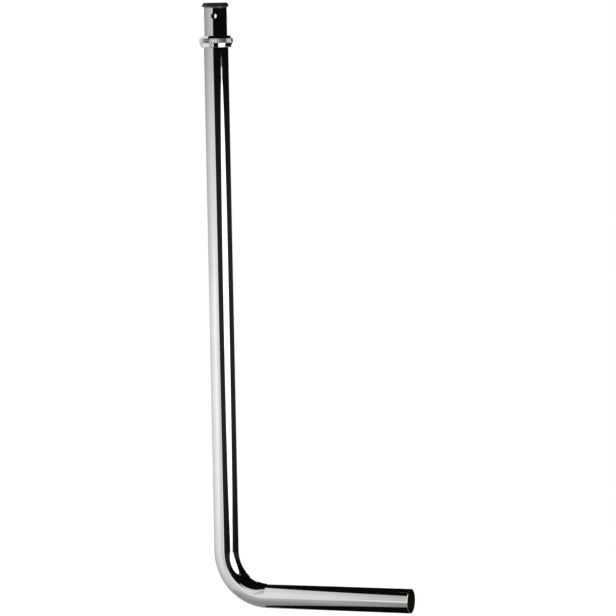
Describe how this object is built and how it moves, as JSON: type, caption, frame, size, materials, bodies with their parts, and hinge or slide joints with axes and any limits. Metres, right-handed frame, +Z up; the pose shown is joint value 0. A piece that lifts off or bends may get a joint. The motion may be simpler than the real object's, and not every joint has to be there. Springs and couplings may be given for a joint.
{
  "type": "flush pipe",
  "caption": "Chromed right-angled flush pipe with a necked, flared top end, air inlet holes, a rubber gasket and a sliding knurled union nut.",
  "frame": {"origin": "centre of the gasket's top face, where the valve's outlet bears on the pipe", "axes": "+Z up along the upright leg, out of its mouth; +X along the lower leg, towards its open end"},
  "size_m": [0.2418, 0.0386, 0.689],
  "materials": {
    "chromed_tube": "bright chrome plate on brass tube",
    "black_rubber": "moulded black rubber",
    "chromed_nut": "bright chrome plate on knurled brass"
  },
  "bodies": {
    "pipe": {"pipe": "chromed_tube", "gasket": "black_rubber"},
    "nut": {"nut": "chromed_nut"}
  },
  "joints": [
    {"name": "nut_slide", "type": "slide", "parent": "pipe", "child": "nut", "axis": [0, 0, 1], "range_m": [0, 0.0428]}
  ]
}
